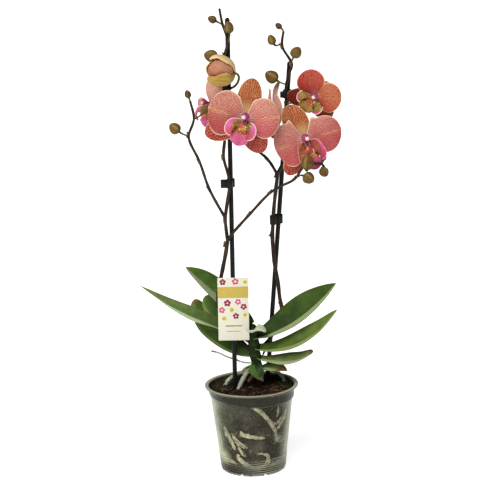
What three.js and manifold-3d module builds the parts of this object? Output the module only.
// Moth orchid (Phalaenopsis) in a clear plastic grow pot, two flower spikes tied to black stakes.
// Millimetres, +Z up. The origin is the centre of the pot's flat base, and the plant's front looks along -Y.
import * as THREE from "three";
import { mergeVertices } from "three/addons/utils/BufferGeometryUtils.js";
import Module from "manifold-3d";

const wasm = await Module();
wasm.setup();

// Driving dimensions of the pot: a 12 cm grow pot
const RIM_RADIUS = 60;
const POT_HEIGHT = 112;
const BASE_RADIUS = 41;
const WALL = 1;
const COLLAR_HEIGHT = 17;
const RIM_HEIGHT = 3;
const SOIL_HEIGHT = 108;
const POT_SIDES = 32;

// Driving dimensions of the plant and what holds it up
const GAP = 0.35;
const STAKE_RADIUS = 3;
const STALK_RADIUS = 6.4;
const SPIKE_RADIUS = 2.2;
const MAIN_RADIUS = 1.8;
const BRANCH_RADIUS = 1.6;
const PEDICEL_RADIUS = 1.1;
const FLOWER_STALK_RADIUS = 1.3;
const ROOT_RADIUS = 2.7;
const LEAF_THICK = 1.8;
const TEPAL_THICK = 0.8;
const COLUMN_TILT = 14;
const CARD = { width: 39, height: 82, thick: 0.7, middle: 213 };
const STRAP = { low: 221, high: 235, thick: 0.9 };

// Sizes that keep thin ends sound: the narrowest half width of a blade, and the finest step kept in a face
const BLUNT = 0.5;
const FINEST = 0.03;

const UP = new THREE.Vector3(0, 0, 1);
const DEG = Math.PI / 180;
const v3 = (x, y, z) => new THREE.Vector3(x, y, z);
const points = (list) => list.map(([x, y, z]) => v3(x, y, z));

// A closed three.js geometry as a solid that can be joined and cut.
function solid(geometry) {
  const bare = geometry.clone();
  bare.deleteAttribute("normal");
  bare.deleteAttribute("uv");
  const merged = mergeVertices(bare, 1e-3);
  return new wasm.Manifold(
    new wasm.Mesh({
      numProp: 3,
      vertProperties: new Float32Array(merged.attributes.position.array),
      triVerts: new Uint32Array(merged.index.array),
    }),
  );
}

const join = (list) => list.reduce((whole, piece) => whole.add(piece));

// The biggest body of a solid: loose scraps left by a cut are dropped.
function biggest(cut) {
  const bodies = cut.decompose();
  return bodies.reduce((a, b) => (a.volume() > b.volume() ? a : b));
}

// A solid as a named mesh whose own origin is its anchor in the part's frame.
function meshOf(name, body, colour, anchor, roughness = 0.6, more = {}) {
  const { numProp, vertProperties, triVerts } = body.simplify(FINEST).getMesh();
  const place = new Float32Array((vertProperties.length / numProp) * 3);
  for (let i = 0; i < place.length / 3; i++) {
    place[3 * i] = vertProperties[numProp * i] - anchor.x;
    place[3 * i + 1] = vertProperties[numProp * i + 1] - anchor.y;
    place[3 * i + 2] = vertProperties[numProp * i + 2] - anchor.z;
  }
  const geometry = new THREE.BufferGeometry();
  geometry.setAttribute("position", new THREE.BufferAttribute(place, 3));
  geometry.setIndex(new THREE.BufferAttribute(new Uint32Array(triVerts), 1));
  geometry.computeVertexNormals();
  const material = new THREE.MeshStandardMaterial({ color: colour, roughness, ...more });
  const mesh = new THREE.Mesh(geometry, material);
  mesh.name = name;
  mesh.position.copy(anchor);
  return mesh;
}

// A round stem of one radius along a curve through its points.
function stem(path, radius, { sides = 6, steps = 3 * path.length } = {}) {
  const section = new THREE.Shape();
  for (let i = 0; i < sides; i++) {
    const angle = (2 * Math.PI * i) / sides;
    const method = i ? "lineTo" : "moveTo";
    section[method](radius * Math.cos(angle), radius * Math.sin(angle));
  }
  const curve = new THREE.CatmullRomCurve3(path, false, "centripetal");
  return solid(new THREE.ExtrudeGeometry(section, { steps, bevelEnabled: false, extrudePath: curve }));
}

// A solid of revolution about Z from its [radius, height] profile.
function turned(profile, sides) {
  const outline = profile.map(([radius, height]) => new THREE.Vector2(radius, height));
  return solid(new THREE.LatheGeometry(outline, sides).rotateX(Math.PI / 2));
}

// A thin blade along a spine: leaf, sepal, petal or lip lobe. half(t) is its half width and
// cup(t, s) how far its face rises at side s (-1 to 1); both faces are split alike.
function blade({ spine, half, cup = () => 0, roll = 0, thick = TEPAL_THICK, along = 6, across = 4 }) {
  const curve = new THREE.CatmullRomCurve3(spine, false, "centripetal");
  const places = [];
  for (let i = 0; i <= along; i++) {
    const t = Math.sin(((i / along) * Math.PI) / 2);
    const tangent = curve.getTangentAt(t);
    const side = tangent.clone().cross(UP).normalize().applyAxisAngle(tangent, -roll * DEG);
    const face = side.clone().cross(tangent);
    for (let j = 0; j <= across; j++) {
      const s = (2 * j) / across - 1;
      const middle = curve.getPointAt(t).addScaledVector(side, s * half(t));
      middle.addScaledVector(face, cup(t, s));
      for (const end of [0.5, -0.5]) places.push(middle.clone().addScaledVector(face, end * thick));
    }
  }
  const top = (i, j) => 2 * (i * (across + 1) + j);
  const low = (i, j) => top(i, j) + 1;
  const faces = [];
  const quad = (a, b, c, d) => faces.push(a, b, c, a, c, d);
  for (let i = 0; i < along; i++) {
    for (let j = 0; j < across; j++) {
      quad(top(i, j), top(i, j + 1), top(i + 1, j + 1), top(i + 1, j));
      quad(low(i + 1, j + 1), low(i, j + 1), low(i, j), low(i + 1, j));
    }
    quad(top(i, 0), top(i + 1, 0), low(i + 1, 0), low(i, 0));
    quad(top(i + 1, across), top(i, across), low(i, across), low(i + 1, across));
  }
  for (let j = 0; j < across; j++) {
    quad(top(0, j + 1), top(0, j), low(0, j), low(0, j + 1));
    quad(top(along, j), top(along, j + 1), low(along, j + 1), low(along, j));
  }
  const geometry = new THREE.BufferGeometry().setFromPoints(places).setIndex(faces);
  return solid(geometry);
}

// A blade outline that widens from its foot, is widest at `wide` and closes in its tip: round at point 0.5,
// sharper above.
function outline(halfWidth, foot, wide, point = 0.5) {
  return (t) => {
    const rise = foot + (1 - foot) * Math.sin((Math.min(t / wide, 1) * Math.PI) / 2);
    const fall = Math.max(0, 1 - (Math.max(0, t - wide) / (1 - wide)) ** 2) ** point;
    return Math.max(halfWidth * rise * fall, BLUNT);
  };
}

// Pot radii
const WALL_TOP = POT_HEIGHT - COLLAR_HEIGHT;
const COLLAR_RADIUS = 54.5;
const WALL_TOP_RADIUS = 52.5;
const innerRadius = (z) => BASE_RADIUS + ((WALL_TOP_RADIUS - BASE_RADIUS) * z) / WALL_TOP - WALL;
const FLOOR = 1.2;
const DRAIN_SLOTS = 8;

// Clear pot: tapering wall, wider collar, rolled rim, drainage slots round the edge of the base
function makePot() {
  const shell = turned(
    [
      [0, 0],
      [BASE_RADIUS - 1.5, 0],
      [BASE_RADIUS, 1.5],
      [WALL_TOP_RADIUS, WALL_TOP],
      [COLLAR_RADIUS, WALL_TOP + 2],
      [COLLAR_RADIUS + 1, POT_HEIGHT - RIM_HEIGHT],
      [RIM_RADIUS - 0.6, POT_HEIGHT - RIM_HEIGHT],
      [RIM_RADIUS, POT_HEIGHT - RIM_HEIGHT / 2],
      [RIM_RADIUS - 1, POT_HEIGHT],
      [COLLAR_RADIUS + 1 - WALL, POT_HEIGHT - 1],
      [COLLAR_RADIUS - WALL, WALL_TOP + 3],
      [innerRadius(WALL_TOP), WALL_TOP],
      [innerRadius(FLOOR), FLOOR],
      [0, FLOOR],
    ],
    POT_SIDES,
  );
  const slot = solid(new THREE.BoxGeometry(9, 5, 5).translate(BASE_RADIUS - 1.5, 0, 0));
  const pitch = 360 / DRAIN_SLOTS;
  const slots = [];
  for (let i = 0; i < DRAIN_SLOTS; i++) slots.push(slot.rotate([0, 0, (i + 0.5) * pitch]));
  return shell.subtract(join(slots));
}

// The two black stakes stand in the soil and lean with the spikes.
const STAKE_FOOT = 12;
const STAKES = {
  left: points([[-21.6, -2, STAKE_FOOT], [-17.7, -14, 580]]),
  right: points([[12.5, 31, STAKE_FOOT], [58, 14, 522]]),
};
const stakeAt = (name, z) => {
  const [foot, head] = STAKES[name];
  return foot.clone().lerp(head, (z - foot.z) / (head.z - foot.z));
};

const makeStake = (name, radius = STAKE_RADIUS) => stem(STAKES[name], radius, { sides: 12, steps: 1 });

// Stalk of leaf bases, from the soil to the crown
const STALK_PATH = points([[9, 6, 99], [8, 4, 127], [5, 2, 158], [3, 1, 190]]);
const makeStalk = (radius = STALK_RADIUS) => stem(STALK_PATH, radius, { sides: 10, steps: 6 });

// Roots that show through the wall: [degrees round from the front, height] along the wall
const WALL_ROOTS = [
  { start: [0, 97], path: [[0, 97], [16, 85], [29, 72], [40, 58], [43, 50]] },
  { start: [70, 90], path: [[62, 80], [50, 66], [44, 58]] },
  { start: [-18, 70], path: [[-18, 58], [2, 54], [23, 51]] },
  { start: [-60, 72], path: [[-50, 60], [-40, 47], [-33, 34]] },
  { start: [-30, 36], path: [[-27, 25], [-10, 14], [12, 10], [27, 17], [26, 27], [5, 32]] },
  { start: [80, 30], path: [[75, 18], [62, 13], [48, 14]] },
  { start: [-95, 60], path: [[-95, 50], [-86, 30], [-76, 18], [-66, 14]] },
  { start: [120, 88], path: [[112, 74], [122, 58], [130, 46], [134, 34]] },
  { start: [190, 62], path: [[165, 46], [182, 34], [200, 30], [214, 38]] },
];
const ROOT_CROWN = { place: v3(9, 6, 88), radius: 9, tall: 10 };

function wallPoint([degrees, z]) {
  const radius = innerRadius(z) - 4 * GAP - ROOT_RADIUS;
  return v3(radius * Math.sin(degrees * DEG), -radius * Math.cos(degrees * DEG), z);
}

function makeRoots(extra = 0) {
  const { place, radius, tall } = ROOT_CROWN;
  const crown = turned([[0, -tall], [6, 1 - tall], [radius, 0], [6, tall + extra], [0, tall + extra]], 8);
  const bodies = [crown.scale(1 + extra / radius).translate(place.toArray())];
  for (const { start, path } of WALL_ROOTS) {
    const inside = wallPoint(start).multiply(v3(0.6, 0.6, 1)).lerp(place, 0.25);
    const route = [place, inside, ...path.map(wallPoint)];
    const steps = Math.round(1.3 * route.length);
    bodies.push(stem(route, ROOT_RADIUS + extra, { sides: 5, steps }));
  }
  return join(bodies);
}

// Aerial roots that leave the stalk above the soil and go down into it, and one that stays in the air
const AERIAL_ROOTS = {
  aerial_root_front: {
    radius: 3,
    path: [[5, 2, 129], [-3, -4, 130], [-10, -8, 121], [-16, -10, 108], [-17, -10.5, 95]],
  },
  aerial_root_back: {
    radius: 2.6,
    path: [[4, 8, 126], [-14, 11, 123], [-29, 8, 115], [-35, 6, 104], [-36, 6, 96]],
  },
  aerial_root_right: {
    radius: 2.4,
    path: [[8, 9, 128], [20, 17, 126], [34, 21, 120], [42, 21, 110], [43, 20, 97]],
  },
  aerial_root_thin: {
    radius: 1.1,
    path: [[5, 1, 139], [-8, -1, 140], [-21, 0.6, 144.5], [-30, -4, 149], [-40, -7, 155], [-50, -10, 159]],
  },
};
const makeAerialRoot = (name, extra = 0) => {
  const { radius, path } = AERIAL_ROOTS[name];
  return stem(points(path), radius + extra, { sides: 7, steps: 7 });
};

// Potting bark: fills the pot to an uneven top, with plain holes for what stands in it
function makeSubstrate() {
  const waves = (x, y) => 1.6 * Math.sin(0.21 * x + 1) * Math.cos(0.17 * y);
  const bumps = (x, y) => waves(x, y) + 1.2 * Math.sin(0.09 * x - 0.23 * y);
  const profile = [[0, FLOOR + GAP], [innerRadius(FLOOR) - GAP - 0.5, FLOOR + GAP]];
  for (const z of [30, 60, WALL_TOP - 1]) profile.push([innerRadius(z) - GAP, z]);
  profile.push([COLLAR_RADIUS - WALL - GAP - 0.4, SOIL_HEIGHT - 3]);
  for (const radius of [42, 30, 17]) profile.push([radius, SOIL_HEIGHT]);
  profile.push([0, SOIL_HEIGHT]);
  const outline = profile.map(([radius, z]) => new THREE.Vector2(radius, z));
  const geometry = new THREE.LatheGeometry(outline, 20).rotateX(Math.PI / 2);
  const place = geometry.attributes.position;
  for (let i = 0; i < place.count; i++) {
    const z = place.getZ(i);
    if (z > SOIL_HEIGHT - 1) place.setZ(i, z + bumps(place.getX(i), place.getY(i)));
  }
  const holes = [makeStake("left", STAKE_RADIUS + GAP), makeStake("right", STAKE_RADIUS + GAP)];
  holes.push(makeStalk(STALK_RADIUS + GAP), makeRoots(GAP));
  for (const name of Object.keys(AERIAL_ROOTS)) holes.push(makeAerialRoot(name, GAP));
  return biggest(solid(geometry).subtract(join(holes)));
}

// Leaves: spine from the stalk to the tip, half width, roll about the spine, fold along the midrib
const LEAVES = {
  leaf_left_upper: {
    half: 17, roll: 30, fold: 0.45, point: 0.85,
    spine: [[1, 6, 187], [-12, 14, 200], [-33, 23, 221], [-58, 30, 243], [-80, 33, 259]],
  },
  leaf_left_long: {
    half: 15, roll: -34, fold: 0.3, point: 0.9,
    spine: [
      [1, 2, 164], [-10, 7, 171], [-24, 9.5, 179], [-42, 4, 189], [-73, -10, 207], [-100, -18, 224],
      [-135, -24, 249],
    ],
  },
  leaf_left_back: {
    half: 16, roll: 52, fold: 0.15, point: 0.5,
    spine: [[4, 9, 168], [-6, 27, 180], [-28, 45, 190], [-52, 51, 200], [-69, 51, 211]],
  },
  leaf_left_middle: {
    half: 17, roll: 56, fold: 0.15, point: 0.5,
    spine: [[3, 9, 177], [-8, 20, 185], [-24, 31, 195], [-38, 36, 208], [-48, 38, 219]],
  },
  leaf_left_lower: {
    half: 20, roll: 46, fold: 0.12, point: 0.5,
    spine: [[4, 6, 140], [-12, 11, 147], [-34, 18, 162], [-58, 22, 182], [-75, 23, 198]],
  },
  leaf_right_upper: {
    half: 19, roll: -42, fold: 0.36, point: 0.85,
    spine: [[5, 2, 172], [20, 0, 179], [46, -3, 195], [78, -7, 219], [110, -10, 243]],
  },
  leaf_right_middle: {
    half: 16, roll: -26, fold: 0.34, point: 0.8,
    spine: [[6, 2, 157], [24, -4, 159], [52, -12, 167], [84, -22, 187], [110, -28, 213]],
  },
  leaf_right_lower: {
    half: 14, roll: -15, fold: 0.3, point: 0.5,
    spine: [[8, 2, 144], [24, -4, 144], [44, -12, 145], [62, -18, 149], [79, -22, 158]],
  },
  leaf_right_low: {
    half: 10, roll: -20, fold: 0.25, point: 0.7,
    spine: [[9, 6, 129], [20, 2, 133], [28, -3, 134], [38, -9, 133], [46, -13, 131]],
  },
  leaf_crown: {
    half: 8, roll: -10, fold: 0.5, point: 0.5,
    spine: [[3, -1, 182], [8, -8, 186], [14, -13, 190], [20, -15, 191], [25, -16, 188]],
  },
  leaf_stub_front: {
    half: 9, roll: -12, fold: 0.35, point: 0.6,
    spine: [[7, 2, 137], [5, -7, 136], [7, -14, 131], [11, -18, 125], [15, -19, 119]],
  },
  leaf_stub_left: {
    half: 4, roll: 0, fold: 0.3, point: 0.6,
    spine: [[6, 6, 130], [-1, 6, 132.5], [-6, 4.5, 131], [-9, 2, 127], [-10, 1, 123]],
  },
};
const LEAF_WAVE = 0.8;

function makeLeaf({ half, roll, fold, point, spine }) {
  const width = outline(half, 0.3, point > 0.5 ? 0.52 : 0.6, point);
  const cup = (t, s) => fold * width(t) * (Math.abs(s) - 0.5) + LEAF_WAVE * s * Math.sin(t * 9);
  return blade({ spine: points(spine), half: width, cup, roll, thick: LEAF_THICK, along: 6, across: 4 });
}

// Flower spikes: each stem segment has its own radius, and a clasping bract sits on each node
const SPIKES = {
  left: {
    foot: [
      [3, 6, 153], [-8, 12, 160], [-20, 17, 171], [-31, 15.5, 188], [-39, 5, 213], [-38.5, -1, 236],
      [-34, -6, 257], [-28, -11, 285], [-25, -14, 302],
    ],
    main: [
      [-25, -14, 301], [-27, -15.5, 330], [-24, -16.5, 352], [-20.5, -17, 378], [-27, -19, 409],
      [-25, -20, 430], [-23, -20, 456], [-23, -20, 493], [-22, -20, 535], [-18, -20, 550],
      [-20, -20, 562], [-23.5, -19, 572], [-27, -18, 592],
    ],
    branches: [
      [
        [-25, -14, 302], [-19, -20, 312], [3, -26, 337], [30, -30, 365], [45, -33, 374],
        [60, -36, 382], [71, -38, 397], [84, -38, 401], [94, -38, 400], [97, -38, 395],
      ],
      [
        [-27, -15, 331], [-46, -20, 370], [-57, -22, 405], [-68, -24, 430], [-69, -24, 438],
        [-62, -24, 458], [-66, -24, 481],
      ],
    ],
    bracts: [
      [-26, -13, 298], [-27, -15.4, 328], [-27, -19, 409], [3, -26, 337], [30, -30, 365],
      [-46, -20, 370], [-57, -22, 405],
    ],
  },
  right: {
    foot: [
      [5, 7, 154], [15, 12, 157], [26, 14, 168], [41, 12, 204], [39, 12, 221], [37, 12, 243],
      [33, 11, 270], [31.5, 12, 300], [33, 13, 322], [34.5, 11.5, 340], [38, 8, 368], [40, 6.5, 383],
    ],
    main: [
      [39.7, 6.5, 382], [46, 6, 394], [52, 4, 413], [54, 4, 444], [53, 5, 469], [52.5, 6, 490],
      [57, 5, 508], [60.5, 3, 519], [49, 1, 542], [51, 1, 561],
    ],
    branches: [[[39.7, 7, 381], [28, 10, 400], [18, 6, 410], [6, -14, 428], [0, -34, 447]]],
    bracts: [[31.3, 12, 303], [39.5, 6.6, 380], [28, 10, 400], [53, 5, 469], [49, 1, 542]],
  },
};

// A pointed bract round the nearest stem, along the way that stem runs there
const BRACT_HEIGHT = 9;
function makeBract(runs, place) {
  const stations = runs.flatMap(({ path, radius }) => {
    const curve = new THREE.CatmullRomCurve3(points(path), false, "centripetal");
    const spots = curve.getPoints(60).map((spot, i) => ({ spot, way: curve.getTangent(i / 60), radius }));
    return spots;
  });
  const away = ({ spot }) => spot.distanceTo(place);
  const { spot, way, radius } = stations.reduce((a, b) => (away(a) <= away(b) ? a : b));
  const turn = new THREE.Quaternion().setFromUnitVectors(v3(0, 1, 0), way);
  const cone = new THREE.ConeGeometry(radius + 1.3, BRACT_HEIGHT, 4).applyQuaternion(turn);
  return solid(cone.translate(...spot.toArray()));
}

function makeSpike(name, extra = 0) {
  const { foot, main, branches, bracts } = SPIKES[name];
  const runs = [
    { path: foot, radius: SPIKE_RADIUS, sides: 6 },
    { path: main, radius: MAIN_RADIUS, sides: 6 },
    ...branches.map((path) => ({ path, radius: BRANCH_RADIUS, sides: 5 })),
  ];
  const bodies = runs.map(({ path, radius, sides }) => {
    const steps = Math.round(1.4 * path.length);
    return stem(points(path), radius + extra, { sides, steps });
  });
  if (!extra) for (const place of points(bracts)) bodies.push(makeBract(runs, place));
  return join(bodies);
}

// Closed buds: centre, way the tip points, length, thickness, and the point where the stalk leaves the stem
const BUDS = [
  { at: [-36, -22, 579], tip: [-1, 0, 0.5], long: 11, wide: 9.5, from: [-23.5, -19, 572], spike: "left" },
  { at: [-16, -23, 569], tip: [-0.1, 0, 1], long: 15, wide: 12, from: [-18, -20, 550], spike: "left" },
  { at: [-39, -16, 534], tip: [-1, -0.2, 0.3], long: 17, wide: 15.5, from: [-22.6, -20, 524], spike: "left" },
  { at: [-68.5, -25, 489], tip: [-0.3, 0, 1], long: 10, wide: 8, from: [-66, -24, 480], spike: "left" },
  { at: [-47, -29, 471], tip: [0.5, -0.3, 0.8], long: 14, wide: 11, from: [-62, -24, 458], spike: "left" },
  { at: [-86, -23, 447], tip: [-0.8, 0, 0.7], long: 15, wide: 14, from: [-69, -24, 437], spike: "left" },
  { at: [76, -46, 404], tip: [0, -0.2, 1], long: 19, wide: 15.5, from: [71, -38, 397], spike: "left" },
  { at: [77, -44, 384], tip: [0.7, -0.5, -0.4], long: 15, wide: 15, from: [60, -36, 382], spike: "left" },
  { at: [96, -44, 391], tip: [0.3, -0.5, -0.4], long: 13, wide: 12, from: [96.5, -38, 396], spike: "left" },
  { at: [96, -34, 409], tip: [0.1, 0.2, 1], long: 11, wide: 8, from: [92, -38, 400], spike: "left" },
  { at: [45, 1, 567], tip: [-0.7, 0, 0.6], long: 9, wide: 7.5, from: [51, 1, 559], spike: "right" },
  { at: [36, 3, 550], tip: [-0.4, 0, 1], long: 13, wide: 10.5, from: [49.3, 1, 546], spike: "right" },
  { at: [66, 0, 534], tip: [0.5, 0, 0.8], long: 15, wide: 14, from: [60.5, 3, 519], spike: "right" },
  { at: [35, 8, 504], tip: [-0.8, 0, 0.6], long: 17.5, wide: 16, from: [53, 6, 494], spike: "right" },
];

function makeBud({ at, tip, long, wide, from, spike }) {
  const rings = 5;
  const egg = [];
  for (let i = 0; i <= rings; i++) {
    const angle = Math.PI * (i / rings - 0.5);
    const taper = 1 - 0.22 * Math.sin(angle);
    const radius = i % rings ? (wide / 2) * Math.cos(angle) * taper : 0;
    egg.push(new THREE.Vector2(radius, (long / 2) * Math.sin(angle)));
  }
  const way = v3(...tip).normalize();
  const turn = new THREE.Quaternion().setFromUnitVectors(v3(0, 1, 0), way);
  const centre = v3(...at);
  const body = solid(new THREE.LatheGeometry(egg, 7).applyQuaternion(turn).translate(...at));
  const neck = centre.clone().addScaledVector(way, -long * 0.4);
  const bend = neck.clone().addScaledVector(way, -long * 0.28).lerp(v3(...from), 0.25);
  const pedicel = stem([neck, bend, v3(...from)], PEDICEL_RADIUS, { sides: 5, steps: 3 });
  return biggest(join([body, pedicel]).subtract(makeSpike(spike, GAP)));
}

// Blooms: centre of the face, way it looks, roll clockwise as seen from the front, and where its stalk
// leaves the stem
const BLOOMS = {
  bloom_front: {
    at: [1, -46, 459], looks: [-0.06, -1, 0.08], roll: 9, size: 1,
    from: [0, -33, 446], spike: "right",
  },
  bloom_right: {
    at: [74, -25, 429], looks: [0.12, -1, 0.02], roll: -23, size: 0.98,
    from: [54, 4, 440], spike: "right",
  },
  bloom_upper: {
    at: [88, -15, 482], looks: [-0.3, -0.9, -0.2], roll: 46, size: 0.76,
    from: [53, 5, 470], spike: "right",
  },
  bloom_left: {
    at: [-41, 6, 472], looks: [-0.94, -0.3, 0.04], roll: -6, size: 0.86,
    from: [-23, -20, 462], spike: "left",
  },
  bloom_back: {
    at: [36, 20, 461], looks: [-1, 0.18, 0.08], roll: 4, size: 0.84,
    from: [52.6, 6, 474], spike: "right",
  },
};
const SEPAL = { long: 47, half: 15 };
const PETAL = { long: 45, half: 27 };

// One tepal in the flower's own frame: out along +Y, face to +Z, then turned round the flower's middle
function tepal(turnDegrees, { long, half }, lift, petal) {
  const rises = [[1, 0], [0.3 * long, 1.5], [0.7 * long, 0.5], [long, -4]];
  const spine = rises.map(([out, rise]) => v3(0, out, lift + rise));
  const width = outline(half, petal ? 0.16 : 0.3, petal ? 0.52 : 0.5);
  const wave = petal ? 0.9 : 0.4;
  const cup = (t, s) => -0.07 * half * s * s * t + wave * Math.sin(5 * t + 2 * s) * Math.abs(s) * t;
  const shape = blade({ spine, half: width, cup, along: 5, across: petal ? 4 : 2 });
  return shape.rotate([0, 0, turnDegrees]);
}

// Lip in three lobes, its middle one raised at its base, and the column above it, in the flower's own frame
function makeLip() {
  const middle = blade({
    spine: points([[0, 0.5, 4.8], [0, -7, 9.5], [0, -13, 10], [0, -22, 13], [0, -29, 11]]),
    half: (t) => 3 + 6.5 * Math.sin(Math.PI * t ** 1.6) * (1 - 0.2 * t),
    cup: (t, s) => 1.6 * Math.abs(s) * (1 - t),
    thick: 1.2,
    along: 5,
    across: 2,
  });
  const sides = [-1, 1].map((side) =>
    blade({
      spine: points([[side * 1.5, -4, 5], [side * 7, -5, 9], [side * 12, -9, 14], [side * 12, -17, 17]]),
      half: outline(7.5, 0.4, 0.5),
      roll: side * 25,
      along: 4,
      across: 2,
    }),
  );
  const profile = [[0, 3.5], [2.4, 3.5], [2.5, 9], [3.3, 12], [0, 15]];
  const column = turned(profile, 6).rotate([-COLUMN_TILT, 0, 0]);
  return join([middle, ...sides, column]);
}

// The flower's own frame in the part: face along `looks`, top of the flower rolled clockwise
function bloomFrame({ at, looks, roll }) {
  const face = v3(...looks).normalize();
  const right = UP.clone().cross(face).normalize();
  const top = face.clone().cross(right);
  const basis = new THREE.Matrix4().makeBasis(right, top, face).setPosition(...at);
  return basis.multiply(new THREE.Matrix4().makeRotationZ(-roll * DEG));
}

function makeBloom(bloom) {
  const frame = bloomFrame(bloom);
  const { size, from, spike } = bloom;
  const sepals = [0, 136, 224].map((turn) => tepal(turn, SEPAL, -2.2, false));
  const petals = [83, 277].map((turn) => tepal(turn, PETAL, 0.9, true));
  const hub = solid(new THREE.SphereGeometry(4.2, 7, 4).rotateX(Math.PI / 2).scale(1, 1, 0.8));
  const scaled = frame.clone().scale(v3(size, size, size)).elements;
  const flower = join([...sepals, ...petals, hub]).transform(scaled);
  const behind = (distance, drop) => v3(0, 0, -distance).applyMatrix4(frame).add(v3(0, 0, -drop));
  const root = v3(...from);
  const route = [behind(1, 0), behind(9, 1), behind(14, 6).lerp(root, 0.5), root];
  const stalk = stem(route, FLOWER_STALK_RADIUS, { sides: 5, steps: 5 });
  const stakes = Object.keys(STAKES).map((name) => makeStake(name, STAKE_RADIUS + GAP));
  const tepals = flower.add(stalk).subtract(join([makeSpike(spike, GAP), ...stakes]));
  const lip = makeLip().subtract(hub.scale(1.12)).transform(scaled);
  return { tepals: biggest(tepals), lip: biggest(lip) };
}

// The half-open bud: sepals still wrapped round the petals, its mouth to the left
const OPENING_BUD = {
  at: [-26, -32, 517],
  tip: [-0.93, -0.25, 0.25],
  long: 35,
  wide: 38,
  from: [-22.4, -20, 504],
};

function makeOpeningBud() {
  const { at, tip, long, wide, from } = OPENING_BUD;
  const core = solid(new THREE.SphereGeometry(1, 10, 8).scale(wide * 0.4, long * 0.42, wide * 0.38));
  const bow = [[-0.5, 0.26], [-0.36, 0.4], [0, 0.5], [0.38, 0.38], [0.56, 0.12]];
  const spine = bow.map(([along, out]) => v3(0, along * long, out * wide));
  const cup = (t, s) => -0.3 * wide * s * s * Math.sin(Math.PI * (0.9 * t + 0.05));
  const half = outline(wide * 0.44, 0.2, 0.5);
  const sepal = blade({ spine, half, cup, thick: 1.2 });
  const sepals = [100, 220, 340].map((around) => sepal.rotate([0, around, 0]));
  const turn = new THREE.Quaternion().setFromUnitVectors(v3(0, 1, 0), v3(...tip).normalize());
  const frame = new THREE.Matrix4().compose(v3(...at), turn, v3(1, 1, 1));
  const body = join([core, ...sepals]).transform(frame.elements);
  const neck = v3(0, -0.42 * long, 0).applyMatrix4(frame);
  const bend = v3(2, -0.62 * long, 0).applyMatrix4(frame).add(v3(0, 0, -4));
  const pedicel = stem([neck, bend, v3(...from)], FLOWER_STALK_RADIUS, { sides: 6, steps: 6 });
  return biggest(join([body, pedicel]).subtract(makeSpike("left", GAP)));
}

// Plastic clips that hold a spike to its stake
const CLIPS = {
  clip_left: { stake: "left", z: 375, stem: [-20.7, -17], tab: "side", height: 11 },
  clip_right_lower: { stake: "right", z: 322, stem: [33, 13], tab: "none", height: 12 },
  clip_right_upper: { stake: "right", z: 482, stem: [52.5, 6], tab: "front", height: 10 },
};

// Finger tabs of a clip, beside or in front of its stem: [width, depth, share of the clip's height]
const TABS = {
  side: [
    { size: [7, 2.4, 1], right: -7.5, back: 1 },
    { size: [5, 1.8, 0.5], right: -4.5, back: 1 },
  ],
  front: [{ size: [12, 2, 0.8], right: 1, back: -3.2 }],
  none: [],
};

function makeClip({ stake, z, stem: [x, y], tab, height }) {
  const pole = stakeAt(stake, z);
  const jaw = (radius, px, py) =>
    solid(new THREE.CylinderGeometry(radius, radius, height, 10).rotateX(Math.PI / 2).translate(px, py, z));
  const wall = 2.2;
  const bodies = [jaw(STAKE_RADIUS + wall, pole.x, pole.y), jaw(SPIKE_RADIUS + wall, x, y)];
  const bridge = new THREE.BoxGeometry(Math.hypot(pole.x - x, pole.y - y), 2 * wall, height * 0.7);
  bridge.rotateZ(Math.atan2(pole.y - y, pole.x - x)).translate((pole.x + x) / 2, (pole.y + y) / 2, z);
  bodies.push(solid(bridge));
  for (const { size, right, back } of TABS[tab]) {
    const [wide, deep, tall] = size;
    bodies.push(solid(new THREE.BoxGeometry(wide, deep, tall * height).translate(x + right, y + back, z)));
  }
  const holes = join([makeSpike(stake, GAP), makeStake(stake, STAKE_RADIUS + GAP)]);
  return biggest(join(bodies).subtract(holes));
}

// Card label in front of the left stake, on a strap round it
function makeLabel() {
  const hole = STAKE_RADIUS + GAP;
  const [foot, head] = STAKES.left;
  const lean = new THREE.Quaternion().setFromUnitVectors(UP, head.clone().sub(foot).normalize());
  const card = new THREE.BoxGeometry(CARD.width, CARD.thick, CARD.height);
  card.translate(0, -hole - CARD.thick, 0).applyQuaternion(lean);
  card.translate(...stakeAt("left", CARD.middle).toArray());
  const span = [stakeAt("left", STRAP.low), stakeAt("left", STRAP.high)];
  const strap = stem(span, hole + STRAP.thick, { sides: 16, steps: 1 });
  return join([solid(card), strap]).subtract(makeStake("left", hole));
}

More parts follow.
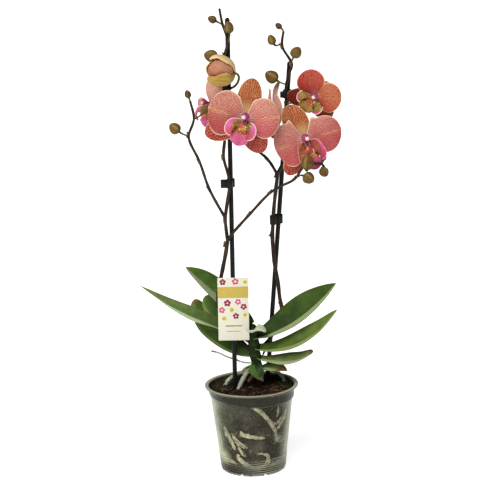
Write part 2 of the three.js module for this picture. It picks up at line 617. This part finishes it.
// The whole plant as one scene graph: pot, what grows in it, what holds it up, what blooms on it
const plant = new THREE.Group();
const add = (name, body, colour, anchor, roughness, more) =>
  plant.add(meshOf(name, body, colour, anchor, roughness, more));

add("pot", makePot(), "#c9cdbb", v3(0, 0, 0), 0.25, { transparent: true, opacity: 0.45 });
add("substrate", makeSubstrate(), "#3b2a1e", v3(0, 0, 0), 0.95);
add("roots", makeRoots(), "#a3ab7c", ROOT_CROWN.place, 0.7);
add("stalk", makeStalk(), "#4c7426", STALK_PATH[0], 0.5);
for (const name of Object.keys(AERIAL_ROOTS)) {
  const body = biggest(makeAerialRoot(name).subtract(makeStalk(STALK_RADIUS + GAP)));
  add(name, body, "#a9b8a2", v3(...AERIAL_ROOTS[name].path[0]), 0.75);
}
for (const [name, leaf] of Object.entries(LEAVES)) {
  const body = biggest(makeLeaf(leaf).subtract(makeStalk(STALK_RADIUS + GAP)));
  add(name, body, "#3f6b22", v3(...leaf.spine[0]), 0.45);
}
for (const name of Object.keys(STAKES)) {
  add("stake_" + name, makeStake(name), "#141312", STAKES[name][0], 0.4);
  const spike = biggest(makeSpike(name).subtract(makeStalk(STALK_RADIUS + GAP)));
  add("spike_" + name, spike, "#3a2a1c", v3(...SPIKES[name].foot[0]), 0.55);
}
for (const [name, clip] of Object.entries(CLIPS)) {
  add(name, makeClip(clip), "#161616", stakeAt(clip.stake, clip.z), 0.4);
}
add("label", makeLabel(), "#ebebdd", stakeAt("left", CARD.middle), 0.5);
BUDS.forEach((bud, i) => {
  add("bud_" + String(i + 1).padStart(2, "0"), makeBud(bud), "#8a7a3c", v3(...bud.at), 0.5);
});
add("bud_opening", makeOpeningBud(), "#cdb35a", v3(...OPENING_BUD.at), 0.5);
for (const [name, bloom] of Object.entries(BLOOMS)) {
  const { tepals, lip } = makeBloom(bloom);
  add(name + "_tepals", tepals, "#d9785c", v3(...bloom.at), 0.5);
  add(name + "_lip", lip, "#c2457e", v3(...bloom.at), 0.5);
}

export default plant;
